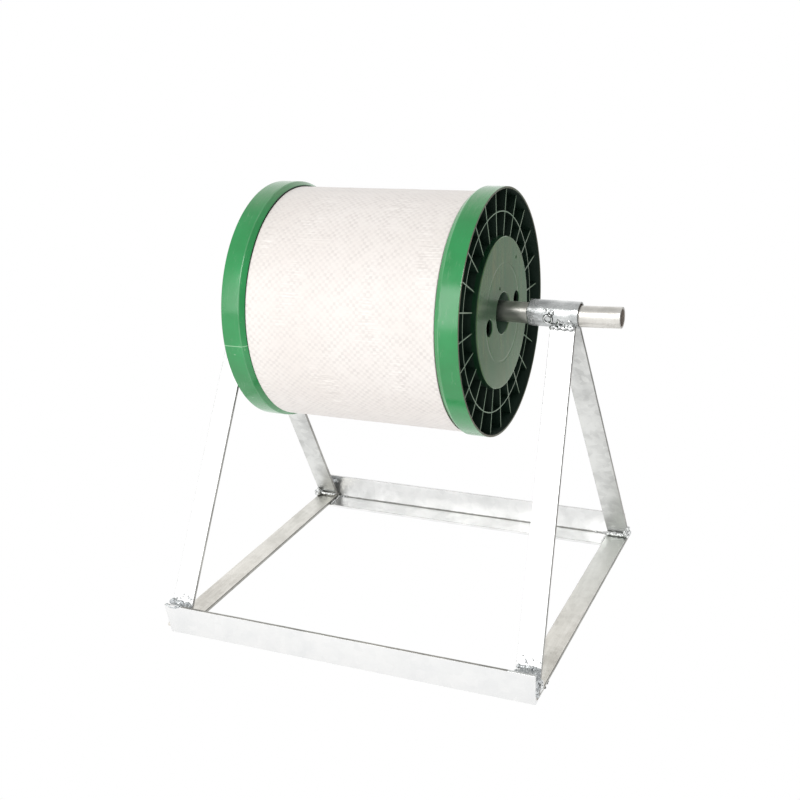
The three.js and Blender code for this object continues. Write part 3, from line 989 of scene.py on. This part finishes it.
def toe_drape(leg, high, rail, rng):
    """A string of zinc that sags over the rail's upper edge."""
    for step, share in enumerate(up_to(9)):
        x = leg.x_at(high.z, 0.0) + (5 + 3 * step) * MM
        fall = 3.2 * MM * math.sin(math.pi * share)
        yield ball(x, rail[0].y + 1.6 * MM, rail[1].z - fall, rng.uniform(2.0, 2.9) * MM)


def toe_end_run(leg, rail, rng):
    """Filler run down the open end of the rail."""
    outer = rail[0].y + 3 * MM
    for _ in range(60):
        z = rng.uniform(12.0, 46.0) * MM
        inner = leg.y_at(z) + leg.out * 1 * MM
        x = rail[1].x - rng.uniform(-0.5, 5.0) * MM
        yield ball(x, inner + (outer - inner) * rng.random(), z, rng.uniform(2.4, 3.6) * MM)


def toe_spatter(leg, crown, rng):
    """Small drops on the leg above the weld."""
    for _ in range(16):
        z = crown + rng.uniform(4.0, 15.0) * MM
        r = rng.uniform(0.7, 1.5) * MM
        yield ball(leg.x_at(z, rng.uniform(0.1, 0.95)), leg.y_at(z) + leg.out * 0.1 * MM, z, r)


def toe_weld(end, side, seed):
    """Filler heaped between a leg and its rail, and spatter on the leg above it."""
    node = f"{end}_{side}_toe_weld"
    low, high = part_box(node)
    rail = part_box(f"{end}_rail")
    leg = LegFace(end, side)
    rng = random.Random(seed)
    heaped = (end, side) == ("front", "left")
    crown = high.z - (5 * MM if heaped else 2.5 * MM)
    balls = list(toe_filler(leg, low, high, crown, rng))
    balls += toe_crest(leg, crown, rng)
    if heaped:
        balls += toe_knuckles(leg, crown)
        balls += toe_drape(leg, high, rail, rng)
    if (end, side) == ("front", "right"):
        balls += toe_end_run(leg, rail, rng)
    balls += toe_spatter(leg, crown, rng)
    piece = blob_mesh(f"weld_toe_{end}_{side}", balls, WELD, 0.75 * MM)
    finish_piece(piece, "stand", node)


def heel_bead(low, high, thinner, seed, rng):
    """A bead that sways a little as it runs across the leg's foot."""
    middle = (low + high) / 2
    radius = (high.z - low.z) / 2
    for k, share in enumerate(up_to(30)):
        x = low.x + radius * 0.3 + (high.x - low.x - radius * 0.6) * share
        sway = 1.1 * MM * math.sin(k * 0.9 + seed)
        r = radius * rng.uniform(0.72, 1.12) * thinner
        centre = Vector((x, middle.y + rng.uniform(-0.8, 0.8) * MM, middle.z + sway * 0.5))
        yield centre, (r * 0.8, r * 1.15, r)


def heel_lump(outer, middle, inward, rng):
    """The lump where the bead ends, at the outer edge of the foot."""
    for _ in range(20):
        x = outer + inward * rng.uniform(-1.5, 7.0) * MM
        y = middle.y + rng.uniform(-7.0, 7.0) * MM
        yield ball(x, y, middle.z + rng.uniform(-3.0, 9.0) * MM, rng.uniform(2.6, 4.8) * MM)


def heel_side_beads(side_edge, angle_bar, inward, rng):
    """Beads along the side rail where it lies on the back angle bar, and drops beside them."""
    low, high = angle_bar
    for share in up_to(18):
        x = side_edge + inward * rng.uniform(1.6, 3.4) * MM
        y = low.y + 4 * MM + (high.y - low.y - 14 * MM) * share
        yield ball(x, y, 6.5 * MM, rng.uniform(1.9, 3.2) * MM)
    for _ in range(9):
        x = side_edge + inward * rng.uniform(3.0, 26.0) * MM
        yield ball(x, high.y - 7 * MM, 6 * MM, rng.uniform(1.2, 2.4) * MM)


def heel_edge_lumps(leg, middle, inward, rng):
    """Lumps up the edge of the leg above its foot."""
    edge = 1.0 if leg.on_right else 0.0
    for _ in range(24):
        z = middle.z + rng.uniform(-3.0, 17.0) * MM
        x = leg.x_at(z, edge) - inward * rng.uniform(-2.0, 2.2) * MM
        y = leg.y_at(z) - leg.out * rng.uniform(1.0, 6.0) * MM
        yield ball(x, y, z, rng.uniform(2.4, 4.2) * MM)


def outer_edge_drops(outer_edge, angle_bar):
    """Four drops low on the outer edge of the right side rail, near its front end; their outer side is
    painted dark as shade.
    """
    for y, z, r in ((60.0, 5.0, 2.4), (57.0, 3.0, 1.6), (46.5, 2.5, 2.6), (43.0, 4.0, 1.8)):
        yield ball(outer_edge - 0.8 * r * MM, angle_bar[0].y + y * MM, z * MM, r * MM)


def heel_weld(end, side, seed):
    """A bead that ran smooth, with drops where it ends."""
    node = f"{end}_{side}_heel_weld"
    low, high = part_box(node)
    middle = (low + high) / 2
    rail_low, rail_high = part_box(f"{side}_rail")
    angle_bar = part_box(f"{end}_rail")
    on_right = side == "right"
    inward = -1 if on_right else 1
    shade_on_drops = end == "front" and on_right
    rng = random.Random(seed)
    thinner = 0.6 if (end, side) == ("back", "left") else 1.0
    balls = list(heel_bead(low, high, thinner, seed, rng))
    balls += heel_lump(high.x if on_right else low.x, middle, inward, rng)
    if end == "back":
        balls += heel_side_beads(rail_low.x if on_right else rail_high.x, angle_bar, inward, rng)
    if end == "back" and on_right:
        balls += heel_edge_lumps(LegFace(end, side), middle, inward, rng)
    if shade_on_drops:
        balls += outer_edge_drops(rail_high.x, angle_bar)
    piece = blob_mesh(f"weld_heel_{end}_{side}", balls, WELD_GLOSS, 0.75 * MM)
    if shade_on_drops:
        # Painted shade on the drops' outer side, facing away from the lamps.
        skin = rail_high.x - 1.2 * MM
        repaint(piece, WELD_PAINTED_SHADE, lambda at, n: at.x > skin and at.z < 9 * MM)
    finish_piece(piece, "stand", node)


def sleeve_bead(low, high, seed, rng):
    """The bead between the leg's head and the sleeve."""
    middle = (low + high) / 2
    radius = (high.z - low.z) / 2
    for k, share in enumerate(up_to(27)):
        x = low.x + 2 * MM + (high.x - low.x - 4 * MM) * share
        wave = math.sin(k * 0.8 + seed)
        r = radius * rng.uniform(0.45, 0.8)
        yield Vector((x, middle.y, middle.z + wave * 1.2 * MM)), (r * 1.2, r, r)


def on_sleeve(x, angle, r, out):
    """A ball sunk in the sleeve's skin, angle up from the level towards the outside."""
    reach = SLEEVE_R + r * 0.15
    return ball(x, out * reach * math.cos(angle), SLEEVE_Z + reach * math.sin(angle), r)


def zinc_loop(x, angle, size, r, out):
    """A ring of melted zinc lying on the sleeve."""
    beads = 26
    for k in range(beads):
        turn = TAU * k / beads
        up = angle + size * math.sin(turn) / SLEEVE_R
        yield on_sleeve(x + size * math.cos(turn), up, r, out)


def painted_shade_round_loop(at, loop, out):
    """Whether a point lies in the painted dark line just inside or just outside a loop, which stands for
    the dark reflections round the glossy zinc.
    """
    x, angle, size, r = loop
    turned = math.atan2(at.z - SLEEVE_Z, out * at.y)
    reach = math.hypot(at.x - x, (turned - angle) * SLEEVE_R)
    outside = size + 0.45 * r < reach < size + 2.0 * r
    inside = size - 1.3 * r < reach < size - 0.7 * r
    return outside or inside


def sleeve_weld(end, side, seed):
    """Melted lumps and loops of zinc where a leg meets its sleeve."""
    node = f"{end}_{side}_sleeve_weld"
    low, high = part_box(node)
    out = -1 if end == "front" else 1
    away = 1 if side == "right" else -1
    inner = low.x if side == "right" else high.x
    rng = random.Random(seed)
    balls = list(sleeve_bead(low, high, seed, rng))
    loops = (
        (inner - away * 2 * MM, math.radians(-10), 6.5 * MM, 2.1 * MM),
        (inner + away * 3 * MM, math.radians(17), 3.4 * MM, 1.6 * MM),
        (inner - away * 7 * MM, math.radians(27), 1.8 * MM, 1.4 * MM),
    )
    for loop in loops:
        balls += zinc_loop(*loop, out)
    for _ in range(34):
        x = inner + away * rng.uniform(11.0, 38.0) * MM
        angle = math.radians(rng.uniform(-52, -12))
        balls.append(on_sleeve(x, angle, rng.uniform(1.3, 3.0) * MM, out))
    piece = blob_mesh(f"weld_sleeve_{end}_{side}", balls, WELD_GLOSS, 0.7 * MM)
    # Painted dark reflections round the loops.
    repaint(piece, WELD_PAINTED_SHADE, lambda at, n: any(painted_shade_round_loop(at, loop, out) for loop in loops))
    finish_piece(piece, "stand", node)


def welds():
    seed = 10
    for end in ("front", "back"):
        for side in ("left", "right"):
            seed += 3
            toe_weld(end, side, seed)
            heel_weld(end, side, seed + 1)
            sleeve_weld(end, side, seed + 2)


# ======== studio
YAW = math.radians(24.826)
PITCH = math.radians(19.616)
ROLL = math.radians(-2.962)
CAMERA_TARGET = Vector((-0.028485, -0.00015, 0.34838))
CAMERA_DISTANCE = 2.01867
LENS = 53.1

# light given by the sky and the floor, as shares of full white
SKY_BACK = 1.15
SKY_FRONT = 1.05
SKY_RIGHT = 0.3
SKY_TOP = 0.72
FLOOR_PLAIN = 1.2
FLOOR_FRONT = 1.35
FLOOR_RIGHT = 0.55
FLOOR_FAR_RIGHT = 0.45
FLOOR_Z = -0.4 * MM
FLOOR_SIZE = 14

# the lamps: where they stand, what they face, how wide and tall they are
KEY_AT = Vector((-0.88, -2.07, 1.2))
KEY_FACES = Vector((0, 0, 0.5))
KEY_SIZE = (0.95, 1.45)
KEY_RADIANCE = 3.0
FRONT_AT = Vector((-0.08, -1.97, 2.19))
FRONT_FACES = Vector((0.2, 0, 0.52))
FRONT_SIZE = (0.36, 0.9)
FRONT_RADIANCE = 16.0


def camera():
    level = math.cos(PITCH)
    forward = Vector((-math.sin(YAW) * level, math.cos(YAW) * level, -math.sin(PITCH)))
    right = Vector((math.cos(YAW), math.sin(YAW), 0))
    up = right.cross(forward)
    turned_right = right * math.cos(ROLL) + up * math.sin(ROLL)
    turned_up = up * math.cos(ROLL) - right * math.sin(ROLL)
    data = bpy.data.cameras.new("camera")
    data.lens = LENS
    data.sensor_width = 36
    eye = add_object("camera", data)
    axes = Matrix((turned_right, turned_up, -forward)).transposed()
    eye.matrix_world = Matrix.Translation(CAMERA_TARGET - forward * CAMERA_DISTANCE) @ axes.to_4x4()
    bpy.context.scene.camera = eye


def soft_light(name, at, faces, size, radiance):
    """A rectangular lamp of the given radiance."""
    data = bpy.data.lights.new(name, "AREA")
    data.shape = "RECTANGLE"
    data.size, data.size_y = size
    data.energy = radiance * math.pi * size[0] * size[1]
    light = add_object(name, data)
    light.location = at
    light.rotation_mode = "QUATERNION"
    light.rotation_quaternion = (faces - at).to_track_quat("-Z", "Y")


def white_or_lit(tree, lit):
    """Full white where the camera looks straight at a backdrop, lit for all other light."""
    looking = Field(tree, tree.nodes.new("ShaderNodeLightPath").outputs["Is Camera Ray"])
    return looking + (1.0 - looking) * lit


def sky():
    """White to look at; as light a soft room, dim overhead and on the right."""
    world = bpy.data.worlds.new("studio")
    bpy.context.scene.world = world
    world.use_nodes = True
    tree = world.node_tree
    background = tree.nodes["Background"]
    direction = tree.nodes.new("ShaderNodeTexCoord").outputs["Generated"]
    x, y, z = split(tree, direction)
    front = y.remap(0.2, -0.8, SKY_BACK, SKY_FRONT)
    right = x.remap(0.45, 0.8, 1.0, SKY_RIGHT)
    overhead = z.remap(0.45, 0.85, 1.0, SKY_TOP)
    plug(tree, white_or_lit(tree, front * right * overhead), background.inputs["Strength"])
    background.inputs["Color"].default_value = (1, 1, 1, 1)


def floor():
    """White to look at; as light bright in front, plain below and dim close by on the right."""
    bpy.ops.mesh.primitive_plane_add(size=FLOOR_SIZE, location=(0, 0, FLOOR_Z))
    ground = bpy.context.object
    ground.name = "floor"
    material = bpy.data.materials.new("floor_white")
    material.use_nodes = True
    tree = material.node_tree
    tree.nodes.remove(tree.nodes["Principled BSDF"])
    x, y, _ = split(tree, place_coords(tree))
    front = y.remap(-0.28, -0.5, FLOOR_PLAIN, FLOOR_FRONT)
    side = x.remap(0.36, 0.6)
    right = y.remap(0.9, 1.2, FLOOR_RIGHT, FLOOR_FAR_RIGHT)
    lit = front * ((1.0 - side) + side * right)
    glow = add_node(tree, "ShaderNodeEmission", {"Strength": white_or_lit(tree, lit)})
    glow.inputs["Color"].default_value = (1, 1, 1, 1)
    plug(tree, glow.outputs["Emission"], tree.nodes["Material Output"].inputs["Surface"])
    ground.data.materials.append(material)


def studio():
    bpy.context.scene.view_settings.view_transform = "Standard"
    sky()
    floor()
    soft_light("key", KEY_AT, KEY_FACES, KEY_SIZE, KEY_RADIANCE)
    soft_light("front", FRONT_AT, FRONT_FACES, FRONT_SIZE, FRONT_RADIANCE)


camera()
flanges()
core()
wound_pack()
wrap()
bars()
pipes()
welds()
studio()
